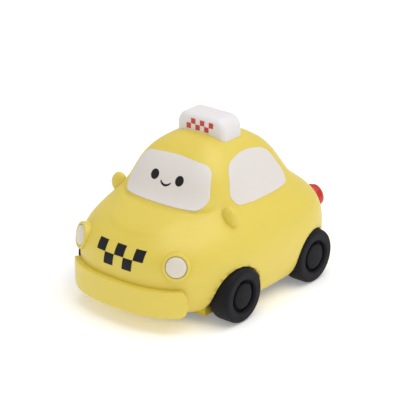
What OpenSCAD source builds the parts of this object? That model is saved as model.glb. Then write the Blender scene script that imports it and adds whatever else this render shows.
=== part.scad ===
// Friction-drive toy taxi: a round moulded body on a chassis plate, four fat wheels on two steel
// axles, and a flywheel motor on the rear axle.
// Z is up, the front points along -Y, the car's own left side is +X.
// The origin is on the ground, in the middle of the car's length and width.

/* [Lower body] */
// Width of the lower body
body_w = 89.5; // [76:0.5:107.5]
// Reach of the lower body ahead of the middle of the wheelbase
body_front = 63.2; // [58:0.2:76]
// Reach of the lower body behind the middle of the wheelbase
body_rear = 55.6; // [50:0.2:66]
// How far behind the middle of the wheelbase the lower body is widest
body_widest = 7.9; // [0:0.1:12]
// Height of the body's waist, where it is widest
waist_z = 23.9; // [22:0.1:28]
// Half height of the lower body, above and below the waist
body_half_h = 27; // [24:0.5:32]
// Squareness of the lower body seen from above
body_plan_n = 2.85; // [2.2:0.05:4]
// Squareness of the lower body seen from the side
body_side_n = 2.63; // [2.2:0.01:3.5]
// Wall of the body shell
wall = 1.8; // [1.2:0.1:2.4]
// Height of the shell's bottom edge above the ground
rim_z = 4.5; // [3.8:0.1:6]

/* [Cabin] */
// Width of the cabin
cabin_w = 62; // [52:0.5:74]
// Half length of the cabin
cabin_half_l = 33.2; // [28:0.2:38]
// How far behind the middle of the wheelbase the cabin is centred
cabin_y = 1.8; // [-2:0.1:6]
// Height of the roof above the ground
roof_z = 74.7; // [70:0.1:90]
// Height at which the cabin is widest
cabin_z = 38.6; // [34:0.1:42]
// Squareness of the cabin seen from above
cabin_plan_n = 3.67; // [2.2:0.01:4.5]
// Squareness of the cabin seen from the side
cabin_side_n = 2.37; // [2.2:0.01:3.5]
// Size of the soft hollow where the cabin grows out of the lower body
cabin_blend = 14; // [6:0.5:18]

/* [Wheels and axles] */
// Radius of a wheel
wheel_r = 13; // [12:0.1:15.6]
// Width of a wheel
wheel_w = 11; // [10:0.5:16]
// Rounding of the tyre's outer shoulder
shoulder_r = 3.1; // [2:0.1:4.8]
// Rounding of the tyre's inner shoulder
inner_shoulder_r = 5; // [2:0.1:5]
// How far a wheel's outer face stands out beyond the widest part of the body
wheel_proud = 0.35; // [0:0.05:2]
// Distance between the front and the rear axle
wheelbase = 55; // [50:0.5:60]
// Radius of the hub inside the tyre
hub_r = 7; // [6:0.1:8]
// Radius of the hub's raised outer disc
hub_disc_r = 6.3; // [5:0.1:6.6]
// Widening of the tyre's bore at the outer face
groove_w = 0.8; // [0.4:0.1:1.2]
// Depth of the groove between tyre and hub disc
groove_depth = 2.4; // [1:0.1:4]
// Rise of the hub disc's domed face
hub_dome = 0.9; // [0.4:0.1:1.5]
// Radius of the steel axles
axle_r = 1.5; // [1.2:0.1:1.8]
// Gap between a wheel and its arch
arch_gap = 0.6; // [0.5:0.1:2]
// Side gap between a wheel and the inner wall of its well
well_gap = 1; // [0.8:0.1:2]

/* [Lamps, mirrors and bumper] */
// Direction of a headlamp from straight ahead
headlamp_az = 25.3; // [18:0.1:32]
// Direction a headlamp looks to, from straight ahead
headlamp_turn = 31; // [0:1:45]
// Angle a headlamp looks upwards
headlamp_tilt = 14; // [0:1:25]
// Height of the lamps
lamp_z = 32.4; // [28:0.1:35]
// Radius of a headlamp bezel
bezel_r = 6.5; // [5.6:0.1:7]
// Radius of a headlamp lens
lens_r = 4.9; // [3.5:0.1:5]
// How far a bezel stands out of the body
bezel_out = 1.6; // [1.4:0.1:4]
// Rise of a lens's domed face
lens_dome = 1.2; // [0.5:0.1:2]
// Direction of a tail lamp from straight ahead
tail_lamp_az = 149.5; // [145:0.5:165]
// Radius of a tail lamp
tail_lamp_r = 5.8; // [4:0.1:6.4]
// How far a tail lamp's dome stands out of the body
tail_lamp_out = 4.1; // [2:0.1:5]
// Depth of a lamp's spigot inside the body
lamp_spigot = 3.5; // [3:0.1:5]
// Thickness of the bumper
bumper_t = 3; // [2:0.1:4]
// Direction of the bumper's ends from straight ahead
bumper_az = 30; // [20:0.5:34]
// Height of the bumper's lower edge
bumper_low = 8.7; // [7:0.1:10]
// Height of the bumper's upper edge
bumper_high = 21.6; // [18:0.1:24]
// Rounding of the bumper's corners, seen from the front
bumper_corner = 4; // [2:0.1:5]
// Rounding of the bumper's upper and lower edges
bumper_round = 1.2; // [0.5:0.1:2]
// Width of a mirror's ear, part of it inside the body
mirror_w = 8.8; // [7:0.1:10]
// Thickness of a mirror
mirror_t = 5.4; // [4:0.1:6]
// Length of a mirror's ear
mirror_l = 10.6; // [8:0.1:12]
// Angle the ear leans inwards at its top
mirror_lean = 20; // [0:1:40]
// Height of the mirrors' middles above the ground
mirror_z = 47.2; // [45:0.1:50]
// Direction of a mirror from straight ahead
mirror_az = 49.5; // [46:0.5:60]
// Radius of the pegs of mirrors, bumper and sign
peg_r = 1.4; // [1:0.1:1.8]

/* [Windows] */
// How deep a window panel is let into the shell
panel_depth = 0.7; // [0.4:0.1:0.9]
// How far a window panel stands proud of the shell
panel_proud = 0.25; // [0.1:0.05:0.5]
// Height of the windows' lower edge
window_low = 49.8; // [47:0.1:53]
// How far below the roof the windows end
window_drop = 6.1; // [5:0.1:9]
// Half width of the windscreen at its widest
screen_half_w = 23.4; // [18:0.1:24]
// Half width of the windscreen at its upper corners
screen_top_half_w = 21.3; // [16:0.1:22]
// Reach of a side window ahead of the middle of the wheelbase
side_window_front = 17.2; // [14:0.1:18]
// Reach of a side window behind the middle of the wheelbase
side_window_rear = 22.6; // [18:0.1:23]

/* [Roof sign] */
// Width of the sign at its foot
sign_w = 28.6; // [20:0.1:32]
// Depth of the sign
sign_d = 14.8; // [11:0.1:18]
// Height of the sign above the roof
sign_h = 7.8; // [6:0.1:12]
// How much the sign narrows on each side towards its top
sign_taper = 0.7; // [0:0.1:3]
// Rounding of the sign's edges
sign_round = 4.6; // [1:0.1:5]
// How far behind the middle of the wheelbase the sign is centred
sign_y = 3.3; // [0:0.1:8]

/* [Chassis and motor] */
// Thickness of the chassis plate
plate_t = 2; // [1.6:0.1:2.6]
// Radius of the screw bosses under the body
boss_r = 3; // [2.6:0.1:3.6]
// Distance of the screw bosses from the car's middle
boss_x = 15; // [12:0.5:18]
// Reach of the screw bosses ahead of the middle of the wheelbase
boss_front = 36; // [28:0.5:38]
// Reach of the screw bosses behind the middle of the wheelbase
boss_rear = 35; // [24:0.5:36]
// Module of the first gear pair, from the axle to the idler
gear_module_1 = 0.6; // [0.5:0.01:0.65]
// Module of the second gear pair, from the idler to the flywheel
gear_module_2 = 0.5; // [0.4:0.01:0.55]
// Teeth of the gear on the rear axle
axle_gear_teeth = 26; // [22:1:26]
// Teeth of the idler's small pinion
idler_pinion_teeth = 10; // [8:1:12]
// Teeth of the idler's large wheel
idler_wheel_teeth = 30; // [26:1:30]
// Teeth of the flywheel's pinion
flywheel_pinion_teeth = 8; // [8:1:10]
// Width of the gears
gear_w = 3; // [2:0.1:4]
// Radius of the flywheel
flywheel_r = 11; // [9:0.1:12]
// Thickness of the flywheel
flywheel_t = 5; // [3:0.1:6]
// Wall of the motor case
case_wall = 1.1; // [0.9:0.1:1.4]
// Radius of the motor's shafts
shaft_r = 1; // [0.8:0.05:1]

/* [Fits] */
// Radial clearance of a shaft that turns in its bore
running_gap = 0.05; // [0.02:0.01:0.1]
// Radial gap of pieces that are pressed or glued together
press_gap = 0.01; // [0.005:0.005:0.02]
// Gap around pieces that are dropped into place
drop_gap = 0.15; // [0.1:0.01:0.2]

/* [Hidden] */
$fn = 48;
left = 1;
right = -1;
outline_fn = 40;
far = 150;
eps = 0.01;

// The middle of the wheelbase lies behind the origin, because the nose is the longer end.
mid_y = (body_front + bumper_t - body_rear) / 2;
front_axle_y = mid_y - wheelbase / 2;
rear_axle_y = mid_y + wheelbase / 2;
axle_z = wheel_r;
wheel_face_x = body_w / 2 + wheel_proud;
window_high = roof_z - window_drop;
sign_top = roof_z + sign_h;

// ---- The body's skin ----
// Each half of the skin is a superellipsoid: [half width, plan power, middle y, front reach,
// rear reach, half height, middle z, side power].
lower_form = [body_w / 2, body_plan_n, mid_y + body_widest, body_front + body_widest,
    body_rear - body_widest, body_half_h, waist_z, body_side_n];
cabin_form = [cabin_w / 2, cabin_plan_n, mid_y + cabin_y, cabin_half_l,
    cabin_half_l, roof_z - cabin_z, cabin_z, cabin_side_n];
core = [0, mid_y + 4, waist_z];
skin_around = 60;
skin_rings = 24;
cavity_around = 48;
cavity_rings = 20;
search_steps = 18;
normal_step = 0.05;

// Distance of a point from one superellipsoid, negative inside.
function form_distance(p, f) =
    let (
        y = p.y - f[2],
        reach = y < 0 ? f[3] : f[4],
        plan = pow(pow(abs(p.x) / f[0], f[1]) + pow(abs(y) / reach, f[1]), 1 / f[1]),
        rho = pow(pow(plan, f[7]) + pow(abs(p.z - f[6]) / f[5], f[7]), 1 / f[7])
    )
    rho < 0.05 ? -f[0] : (1 - 1 / rho) * norm([p.x, y, p.z - f[6]]);

// Distance from the two forms together, with a soft hollow where they meet.
function skin_distance(p) =
    let (
        a = form_distance(p, lower_form),
        b = form_distance(p, cabin_form),
        h = max(cabin_blend - abs(a - b), 0) / cabin_blend
    )
    min(a, b) - h * h * cabin_blend / 4;

// How far from a start inside the body a ray reaches the skin, by halving the interval.
function ray_reach(start, dir, level, low = 0, high = far, step = search_steps) =
    let (middle = (low + high) / 2)
    step == 0 ? middle
    : skin_distance(start + dir * middle) < level ? ray_reach(start, dir, level, middle, high, step - 1)
    : ray_reach(start, dir, level, low, middle, step - 1);

// Direction for an azimuth from straight ahead, turning towards +X, and an elevation.
function heading(az, el = 0) = [sin(az) * cos(el), -cos(az) * cos(el), sin(el)];

// Point on the skin, or on a level outside or inside it, at an azimuth and a height.
function skin_point(az, z, level = 0) =
    let (start = [0, core.y, z])
    start + heading(az) * ray_reach(start, heading(az), level);

// Outward normal of the skin at a point.
function skin_normal(p) =
    let (
        g = [for (i = [0:2])
            let (d = [for (j = [0:2]) j == i ? normal_step : 0])
            skin_distance(p + d) - skin_distance(p - d)]
    )
    g / norm(g);

// The solid inside one level of the skin: rings of rays from the core, closed by two poles.
module skin_solid(level, around = skin_around, rings = skin_rings) {
    ring_points = [for (i = [1:rings - 1], k = [0:around - 1])
        let (dir = heading(360 * k / around, -90 + 180 * i / rings))
        core + dir * ray_reach(core, dir, level)];
    bottom = core - [0, 0, ray_reach(core, [0, 0, -1], level)];
    top = core + [0, 0, ray_reach(core, [0, 0, 1], level)];
    last = (rings - 2) * around;
    total = (rings - 1) * around;
    sides = [for (i = [0:rings - 3], k = [0:around - 1])
        let (
            a = i * around + k,
            b = i * around + (k + 1) % around,
            c = b + around,
            d = a + around
        )
        each (k < around / 2 ? [[a, d, c], [a, c, b]] : [[a, d, b], [b, d, c]])];
    floor_fan = [for (k = [0:around - 1]) [total, k, (k + 1) % around]];
    roof_fan = [for (k = [0:around - 1]) [total + 1, last + (k + 1) % around, last + k]];
    polyhedron(concat(ring_points, [bottom, top]), concat(sides, floor_fan, roof_fan), convexity = 6);
}

// Turns +Z to a direction in the horizontal plane or above it, and moves to a point.
module aim(p, dir) {
    translate(p)
        rotate([0, acos(dir.z), atan2(dir.y, dir.x)])
            children();
}

// Turns a flat shape to the car's Y-Z plane, thickness along +X from x.
module across(x, length) {
    translate([x, 0, 0])
        rotate([90, 0, 90])
            linear_extrude(length)
                children();
}

// A round bar along X.
module bar_x(x, y, z, length, r) {
    translate([x, y, z])
        rotate([0, 90, 0])
            cylinder(h = length, r = r);
}

// ---- Wheel wells ----
arch_r = wheel_r + arch_gap;
well_x = wheel_face_x - wheel_w - well_gap;

// One wheel's well and the room below it, larger by grow and starting at x.
module well(side, y, grow, x) {
    mirror([side == left ? 0 : 1, 0, 0])
        across(x, far)
            union() {
                translate([y, axle_z])
                    circle(arch_r + grow);
                translate([y - arch_r - grow, -far])
                    square([2 * (arch_r + grow), far + axle_z]);
            }
}

module all_wells(grow, x) {
    for (side = [left, right], y = [front_axle_y, rear_axle_y])
        well(side, y, grow, x);
}

// ---- Chassis screws and bosses ----
screw_r = 1.2;
screw_head_r = 2.4;
screw_head_t = 1.2;
screw_l = 9;
plate_top = rim_z + plate_t;
boss_spots = [for (x = [-boss_x, boss_x], y = [mid_y - boss_front, mid_y + boss_rear]) [x, y]];

// ---- Windows ----
window_corner = 4;
screen_shoulder = 7.5;
side_shoulder = 9;
window_crown = 1.15;

// A window's outline: two lower corners, two rounder upper ones and a crowned top between them.
module window_outline(x_low, x_high, x_top_low, x_top_high, shoulder, gap) {
    middle = (x_top_low + x_top_high) / 2;
    reach = (x_top_high - x_top_low) / 2 - shoulder;
    offset(delta = gap)
        hull() {
            for (x = [x_low + window_corner, x_high - window_corner])
                translate([x, window_low + window_corner])
                    circle(window_corner, $fn = outline_fn);
            for (t = [-1, -0.5, 0, 0.5, 1])
                translate([middle + t * reach, window_high - t * t * window_crown - shoulder])
                    circle(shoulder, $fn = outline_fn);
        }
}

// Prism over the windscreen (front) or the rear window (back), grown by gap.
module screen_prism(end, gap) {
    translate([0, end < 0 ? core.y : core.y + far, 0])
        rotate([90, 0, 0])
            linear_extrude(far)
                window_outline(-screen_half_w, screen_half_w,
                    -screen_top_half_w, screen_top_half_w, screen_shoulder, gap);
}

// Prism over a side window, grown by gap.
module side_prism(side, gap) {
    side_top_inset = 2.6;
    mirror([side == left ? 0 : 1, 0, 0])
        across(0, far)
            window_outline(mid_y - side_window_front, mid_y + side_window_rear,
                mid_y - side_window_front + side_top_inset,
                mid_y + side_window_rear - side_top_inset, side_shoulder, gap);
}

module panel_stock() {
    difference() {
        skin_solid(panel_proud);
        skin_solid(-panel_depth + press_gap);
    }
}

module window_pockets() {
    difference() {
        union() {
            screen_prism(-1, drop_gap);
            screen_prism(1, drop_gap);
            side_prism(left, drop_gap);
            side_prism(right, drop_gap);
        }
        skin_solid(-panel_depth);
    }
}

// ---- Lamps, mirrors, sign and bumper pegs ----
function headlamp_point(side) = skin_point(side * headlamp_az, lamp_z);
function headlamp_axis(side) = heading(side * headlamp_turn, headlamp_tilt);
function tail_lamp_point(side) = skin_point(side * tail_lamp_az, lamp_z);
function mirror_point(side) = skin_point(side * mirror_az, mirror_z);
function flat_normal(p) =
    let (n = skin_normal(p))
    [n.x, n.y, 0] / norm([n.x, n.y]);

lamp_hole_l = 4 * lamp_spigot;
peg_l = wall + 2;
lamp_floor = 1.2;
lens_sink = 0.3;
mirror_share = 1 / 6;
sign_peg_x = sign_w / 4;
bumper_peg_x = body_w / 5;
bumper_peg_z = (bumper_low + bumper_high) / 2;

module sign_pegs(r) {
    for (x = [-sign_peg_x, sign_peg_x])
        translate([x, mid_y + sign_y, roof_z - wall - peg_l])
            cylinder(h = peg_l + wall, r = r, $fn = 24);
}

module bumper_pegs(r) {
    for (x = [-bumper_peg_x, bumper_peg_x])
        translate([x, mid_y - body_front + wall + peg_l, bumper_peg_z])
            rotate([90, 0, 0])
                cylinder(h = peg_l + wall, r = r, $fn = 24);
}

module mirror_peg(side, r) {
    p = mirror_point(side);
    aim(p - flat_normal(p) * peg_l, flat_normal(p))
        cylinder(h = peg_l + mirror_w / 4, r = r, $fn = 24);
}

// The slot that lets an axle into the shell from below.
module axle_slot(y) {
    slot_half = axle_r + 1;
    bar_x(-wheel_face_x, y, axle_z, 2 * wheel_face_x, slot_half);
    translate([-wheel_face_x, y - slot_half, 0])
        cube([2 * wheel_face_x, 2 * slot_half, axle_z]);
}

module lamp_holes() {
    for (side = [left, right]) {
        aim(headlamp_point(side) - headlamp_axis(side) * lamp_hole_l / 2, headlamp_axis(side))
            cylinder(h = lamp_hole_l, r = bezel_r + drop_gap);
        t = tail_lamp_point(side);
        aim(t - skin_normal(t) * lamp_hole_l / 2, skin_normal(t))
            cylinder(h = lamp_hole_l, r = tail_lamp_r + drop_gap);
    }
}

// ---- Pieces of the body ----
module body_shell() {
    color("gold")
        // A resize that keeps every size makes the hollow shell one closed mesh.
        resize([0, 0, 0])
            difference() {
                union() {
                    difference() {
                        skin_solid(0);
                        skin_solid(-wall, cavity_around, cavity_rings);
                    }
                    intersection() {
                        skin_solid(-panel_depth - wall / 4, cavity_around, cavity_rings);
                        union() {
                            all_wells(wall, well_x - wall);
                            for (p = boss_spots)
                                translate([p.x, p.y, plate_top + press_gap])
                                    cylinder(h = far, r = boss_r, $fn = 24);
                        }
                    }
                }
                translate([-far, -far, -far])
                    cube([2 * far, 2 * far, far + rim_z]);
                all_wells(0, well_x);
                for (y = [front_axle_y, rear_axle_y])
                    axle_slot(y);
                for (p = boss_spots)
                    translate([p.x, p.y, 0])
                        cylinder(h = plate_top + screw_l, r = screw_r + running_gap, $fn = 24);
                window_pockets();
                lamp_holes();
                sign_pegs(peg_r + drop_gap);
                bumper_pegs(peg_r + drop_gap);
                mirror_peg(left, peg_r + drop_gap);
                mirror_peg(right, peg_r + drop_gap);
            }
}

// The bumper's outline seen from above, where it stands furthest out.
function bumper_plan() = [for (k = [0:skin_around - 1])
    let (p = skin_point(360 * k / skin_around, bumper_high, bumper_t))
    [p.x, p.y]];

// A slab of that outline with rounded upper and lower edges.
module bumper_slab() {
    round_steps = 3;
    hull()
        for (i = [0:round_steps], end = [0, 1]) {
            angle = 90 * i / round_steps;
            lift = bumper_round * (1 - sin(angle));
            translate([0, 0, end == 0 ? bumper_low + lift : bumper_high - lift - eps])
                linear_extrude(eps)
                    offset(delta = -bumper_round * (1 - cos(angle)))
                        polygon(bumper_plan());
        }
}

// Everything on the near side of one end of the bumper, with that end's two rounded corners.
module bumper_end(side) {
    end_point = skin_point(bumper_az, bumper_high, bumper_t);
    end_normal = flat_normal(end_point);
    end_az = atan2(end_normal.x, -end_normal.y);
    end_u = end_point.x * cos(end_az) + end_point.y * sin(end_az);
    mirror([side == left ? 0 : 1, 0, 0])
        rotate([0, 0, end_az])
            rotate([90, 0, 0])
                linear_extrude(2 * far, center = true)
                    hull() {
                        for (z = [bumper_low + bumper_corner, bumper_high - bumper_corner])
                            translate([end_u - bumper_corner, z])
                                circle(bumper_corner, $fn = outline_fn);
                        translate([-far, bumper_low + eps])
                            square([1, bumper_high - bumper_low - 2 * eps]);
                    }
}

module front_bumper() {
    color("khaki") {
        difference() {
            intersection() {
                bumper_slab();
                bumper_end(left);
                bumper_end(right);
                translate([-far, core.y - cabin_half_l - far, 0])
                    cube([2 * far, far, far]);
            }
            skin_solid(press_gap);
        }
        intersection() {
            bumper_pegs(peg_r);
            skin_solid(bumper_t / 2);
        }
    }
}

module windscreen_panel() {
    color("white")
        intersection() {
            panel_stock();
            screen_prism(-1, 0);
        }
}

module rear_window_panel() {
    color("white")
        intersection() {
            panel_stock();
            screen_prism(1, 0);
        }
}

module side_window_panel(side) {
    color("white")
        intersection() {
            panel_stock();
            side_prism(side, 0);
        }
}

// A round cup with a rolled edge, let into the body.
module headlamp_bezel(side) {
    roll = (bezel_r - lens_r - press_gap) / 2;
    color("khaki")
        aim(headlamp_point(side), headlamp_axis(side))
            rotate_extrude() {
                translate([0, -lamp_spigot])
                    square([bezel_r, lamp_floor]);
                translate([lens_r + press_gap, -lamp_spigot])
                    square([2 * roll, lamp_spigot + bezel_out - roll]);
                translate([lens_r + press_gap + roll, bezel_out - roll])
                    circle(roll);
            }
}

// A disc with a domed face: the dome's radius follows from its rise over the disc's radius.
module domed_disc(r, low, high, rise) {
    dome_r = (r * r + rise * rise) / (2 * rise);
    rotate_extrude()
        intersection() {
            translate([0, low])
                square([r, high + rise - low]);
            union() {
                translate([0, low])
                    square([r, high - low]);
                translate([0, high + rise - dome_r])
                    circle(dome_r, $fn = 96);
            }
        }
}

module headlamp_lens(side) {
    color("white")
        aim(headlamp_point(side), headlamp_axis(side))
            domed_disc(lens_r, lamp_floor - lamp_spigot, bezel_out - lens_sink, lens_dome);
}

module tail_lamp(side) {
    p = tail_lamp_point(side);
    rim_share = 0.2;
    color("red")
        aim(p, skin_normal(p))
            domed_disc(tail_lamp_r, -lamp_spigot, tail_lamp_out * rim_share,
                tail_lamp_out * (1 - rim_share));
}

// A flat ear standing out of the body, on a peg; the right one mirrors the left one.
module mirror_ear(side) {
    p = mirror_point(left);
    color("khaki")
        mirror([side == left ? 0 : 1, 0, 0]) {
            difference() {
                translate(p + [mirror_w * mirror_share, 0, 0])
                    rotate([0, -mirror_lean, 0])
                        scale([mirror_w, mirror_t, mirror_l] / mirror_l)
                            sphere(d = mirror_l, $fn = 32);
                skin_solid(press_gap);
            }
            intersection() {
                mirror_peg(left, peg_r);
                skin_solid(mirror_w / 4);
            }
        }
}

// A tapered box with rounded edges that follows the roof underneath.
module roof_sign() {
    foot_sink = 4;
    color("white") {
        difference() {
            hull()
                for (x = [-1, 1], y = [-1, 1], top = [0, 1])
                    translate([x * (sign_w / 2 - sign_round - top * sign_taper),
                        mid_y + sign_y + y * (sign_d / 2 - sign_round),
                        top == 1 ? sign_top - sign_round : roof_z - foot_sink])
                        sphere(sign_round, $fn = 24);
            skin_solid(press_gap);
        }
        intersection() {
            sign_pegs(peg_r);
            skin_solid(sign_round);
        }
    }
}

// ---- Chassis ----
plate_gap = 0.6;
post_t = 4;
post_half_w = 3.6;
post_clearance = 2.4;
post_x = well_x - wall - post_clearance - post_t;
plate_points = 48;
screw_sink = screw_head_t + 0.2;
case_slot_gap = 0.4;

// The shell's inner outline at the height where the plate is lowest.
function plate_outline() = [for (k = [0:plate_points - 1])
    let (p = skin_point(360 * k / plate_points, rim_z, -wall - plate_gap))
    [p.x, p.y]];

// A bearing post for an axle.
module axle_post(x, y) {
    difference() {
        across(x, post_t)
            union() {
                translate([y, axle_z])
                    circle(post_half_w);
                translate([y - post_half_w, rim_z + eps])
                    square([2 * post_half_w, axle_z - rim_z]);
            }
        bar_x(x - 1, y, axle_z, post_t + 2, axle_r + running_gap);
    }
}

module chassis_plate() {
    notch_x = well_x - wall - plate_gap;
    color("dimgray") {
        difference() {
            translate([0, 0, rim_z])
                linear_extrude(plate_t)
                    polygon(plate_outline());
            for (side = [left, right], y = [front_axle_y, rear_axle_y])
                translate([side > 0 ? notch_x : -far, y - arch_r - wall - plate_gap, 0])
                    cube([far - notch_x, 2 * (arch_r + wall + plate_gap), far]);
            for (p = boss_spots)
                translate([p.x, p.y, 0]) {
                    cylinder(h = far, r = screw_r + drop_gap);
                    cylinder(h = rim_z + screw_sink, r = screw_head_r + drop_gap);
                }
            for (p = foot_spots)
                translate([p.x, p.y, 0])
                    cylinder(h = far, r = small_screw_r + press_gap);
            translate([case_x - case_slot_gap, rear_axle_y - case_slot_half, 0])
                cube([case_l + 2 * case_slot_gap, 2 * case_slot_half, far]);
        }
        for (x = [-post_x - post_t, post_x], y = [front_axle_y, rear_axle_y])
            axle_post(x, y);
    }
}

module pan_screw(length, r, head_r, head_t) {
    recess_l = 1.2 * head_r;
    recess_w = 0.24 * head_r;
    recess_depth = 0.6 * head_t;
    cylinder(h = length, r = r);
    difference() {
        cylinder(h = head_t, r = head_r);
        for (turn = [0, 90])
            rotate(turn)
                translate([-recess_l / 2, -recess_w / 2, -eps])
                    cube([recess_l, recess_w, recess_depth]);
    }
}

module chassis_screws() {
    color("silver")
        for (p = boss_spots)
            translate([p.x, p.y, rim_z + screw_sink - screw_head_t])
                pan_screw(screw_l, screw_r, screw_head_r, screw_head_t);
}

// ---- Motor ----
pressure_angle = 28;
addendum = 0.8;
dedendum = 1.05;
backlash = 0.06;
flank_steps = 5;
idler_dir = 152;
flywheel_dir = 165;
distance_1 = gear_module_1 * (axle_gear_teeth + idler_pinion_teeth) / 2;
distance_2 = gear_module_2 * (idler_wheel_teeth + flywheel_pinion_teeth) / 2;
rear_axle_at = [rear_axle_y, axle_z];
idler_at = rear_axle_at + distance_1 * [cos(idler_dir), sin(idler_dir)];
flywheel_at = idler_at + distance_2 * [cos(flywheel_dir), sin(flywheel_dir)];
side_play = 0.3;
case_bore_r = axle_r + 4 * running_gap;
// The case's inside, from its left wall to its cover, holds two gear planes side by side.
case_offset = 3;
case_x = -gear_w - case_offset;
gear_1_x = case_x + case_wall + side_play;
gear_2_x = gear_1_x + gear_w + side_play;
gear_2_share = 0.7;
gear_2_w = gear_w * gear_2_share;
cover_x = gear_2_x + gear_2_w + side_play;
case_l = cover_x + case_wall - case_x;
flywheel_clearance = 2.2;
flywheel_x = cover_x + case_wall + flywheel_clearance;
axle_gear_tip = gear_module_1 * (axle_gear_teeth / 2 + addendum);
idler_tip = gear_module_2 * (idler_wheel_teeth / 2 + addendum);
case_gap = 0.4;
case_slot_half = axle_gear_tip + case_gap + case_wall + case_slot_gap;
small_screw_r = 0.8;
small_head_r = 1.5;
small_head_t = 0.8;
foot_w = 2.6;
foot_pitch = 12;
foot_spots = [for (p = [-foot_pitch / 2, foot_pitch / 2]) [case_x - foot_w, rear_axle_y + p]];
lug_r = 1.9;
lug_dirs = [16, 105, 235];
function around_gear(centre, tip, dir) =
    centre + (tip + case_gap + lug_r) * [cos(dir), sin(dir)];
lug_at = [around_gear(rear_axle_at, axle_gear_tip, lug_dirs[0]),
    around_gear(idler_at, idler_tip, lug_dirs[1]),
    around_gear(idler_at, idler_tip, lug_dirs[2])];

// Involute of a pressure angle, in degrees.
function involute(a) = tan(a) * 180 / PI - a;

// Outline of a spur gear with a tooth at angle 0, thinned by the backlash.
function gear_outline(m, z) =
    let (
        pitch_r = m * z / 2,
        base_r = pitch_r * cos(pressure_angle),
        tip_r = pitch_r + addendum * m,
        root_r = pitch_r - dedendum * m,
        half = 90 / z - backlash / pitch_r * 90 / PI,
        start_r = max(base_r, root_r),
        flank = [for (i = [0:flank_steps])
            let (r = start_r + (tip_r - start_r) * i / flank_steps)
            [r, half + involute(pressure_angle) - involute(acos(min(1, base_r / r)))]],
        tooth = concat([[root_r, flank[0][1]]], flank)
    )
    [for (t = [0:z - 1])
        each concat(
            [for (p = tooth) [p[0] * cos(360 * t / z - p[1]), p[0] * sin(360 * t / z - p[1])]],
            [for (i = [len(tooth) - 1:-1:0])
                let (p = tooth[i])
                [p[0] * cos(360 * t / z + p[1]), p[0] * sin(360 * t / z + p[1])]])];

// A gear along X at a place in the Y-Z plane, turned by an angle.
module gear(m, z, at, turn, x, width) {
    translate([x, at.x, at.y])
        rotate([90, 0, 90])
            rotate(turn)
                linear_extrude(width)
                    polygon(gear_outline(m, z));
}

module case_outline(grow) {
    hull() {
        translate(rear_axle_at)
            circle(axle_gear_tip + case_gap + grow);
        translate(idler_at)
            circle(idler_tip + case_gap + grow);
        translate(flywheel_at)
            circle(gear_module_2 * flywheel_pinion_teeth + grow);
    }
}

module motor_case() {
    color("ivory")
        difference() {
            union() {
                across(case_x, cover_x - case_x)
                    case_outline(case_wall);
                for (p = lug_at)
                    across(case_x, cover_x - case_x)
                        translate(p)
                            circle(lug_r, $fn = 32);
                for (p = foot_spots)
                    translate([p.x - foot_w, p.y - foot_w, plate_top + press_gap])
                        cube([case_x - p.x + foot_w + eps, 2 * foot_w, case_wall]);
            }
            across(case_x + case_wall, far)
                case_outline(0);
            bar_x(case_x - 1, rear_axle_at.x, rear_axle_at.y, far, case_bore_r);
            bar_x(case_x - 1, idler_at.x, idler_at.y, far, shaft_r + press_gap);
            bar_x(case_x - 1, flywheel_at.x, flywheel_at.y, far, shaft_r + running_gap);
            for (p = lug_at)
                bar_x(case_x + case_wall, p.x, p.y, far, small_screw_r + press_gap);
            for (p = foot_spots)
                translate([p.x, p.y, 0])
                    cylinder(h = far, r = small_screw_r + drop_gap);
        }
}

module motor_cover() {
    color("ivory")
        difference() {
            across(cover_x + press_gap, case_wall)
                union() {
                    case_outline(case_wall);
                    for (p = lug_at)
                        translate(p)
                            circle(lug_r, $fn = 32);
                }
            bar_x(cover_x - 1, rear_axle_at.x, rear_axle_at.y, far, case_bore_r);
            bar_x(cover_x - 1, idler_at.x, idler_at.y, far, shaft_r + press_gap);
            bar_x(cover_x - 1, flywheel_at.x, flywheel_at.y, far, shaft_r + running_gap);
            for (p = lug_at)
                bar_x(cover_x - 1, p.x, p.y, far, small_screw_r + drop_gap);
        }
}

module cover_screws() {
    color("silver")
        for (p = lug_at)
            translate([cover_x + case_wall + small_head_t + 2 * press_gap, p.x, p.y])
                rotate([0, -90, 0])
                    pan_screw(cover_x - case_x, small_screw_r, small_head_r, small_head_t);
}

module motor_screws() {
    color("silver")
        for (p = foot_spots)
            translate([p.x, p.y, plate_top + case_wall + small_head_t + 2 * press_gap])
                rotate([180, 0, 0])
                    pan_screw(plate_t + case_wall + small_head_t, small_screw_r, small_head_r,
                        small_head_t);
}

module idler_shaft() {
    color("silver")
        bar_x(case_x, idler_at.x, idler_at.y, case_l + press_gap, shaft_r);
}

// The idler: a small pinion driven by the axle gear, and a large wheel that drives the flywheel.
module idler_gear() {
    color("ivory")
        difference() {
            union() {
                gear(gear_module_1, idler_pinion_teeth, idler_at,
                    idler_dir + 180 + 180 / idler_pinion_teeth, gear_1_x, gear_w + side_play + eps);
                gear(gear_module_2, idler_wheel_teeth, idler_at, flywheel_dir, gear_2_x, gear_2_w);
            }
            bar_x(case_x, idler_at.x, idler_at.y, far, shaft_r + running_gap);
        }
}

module flywheel_shaft() {
    overhang = 1.2;
    color("silver")
        bar_x(case_x - overhang, flywheel_at.x, flywheel_at.y,
            flywheel_x + flywheel_t - case_x + 2 * overhang, shaft_r);
}

module flywheel_pinion() {
    color("goldenrod")
        difference() {
            gear(gear_module_2, flywheel_pinion_teeth, flywheel_at,
                flywheel_dir + 180 + 180 / flywheel_pinion_teeth, gear_2_x, gear_2_w);
            bar_x(case_x, flywheel_at.x, flywheel_at.y, far, shaft_r + press_gap);
        }
}

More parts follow.
